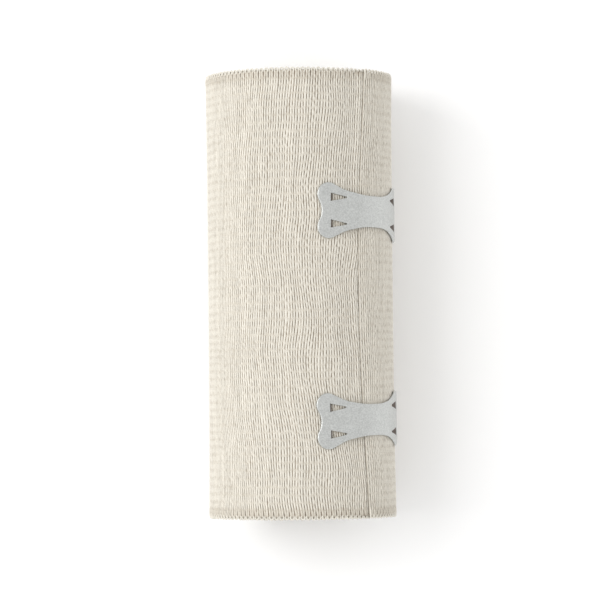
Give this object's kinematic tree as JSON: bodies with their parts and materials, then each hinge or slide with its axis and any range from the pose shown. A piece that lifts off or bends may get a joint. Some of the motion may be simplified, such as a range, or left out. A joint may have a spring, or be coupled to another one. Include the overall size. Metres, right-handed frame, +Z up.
{
  "type": "crepe bandage roll",
  "caption": "Wide roll of ribbed cream crepe bandage lying on its side, its loose end held down by stamped dog-bone metal clips with teeth bent into the cloth.",
  "frame": {"origin": "middle of the flat spot that the roll rests on", "axes": "+Y along the roll's axis, +Z up, and the loose end lies between +Z and +X"},
  "size_m": [0.0654, 0.1528, 0.063],
  "materials": {
    "crepe_cloth": "matt ribbed crepe, cream with browner valleys",
    "clip_metal": "satin rolled sheet"
  },
  "bodies": {
    "root": {"bandage_roll": "crepe_cloth", "clip_upper": "clip_metal", "clip_lower": "clip_metal"}
  },
  "joints": []
}
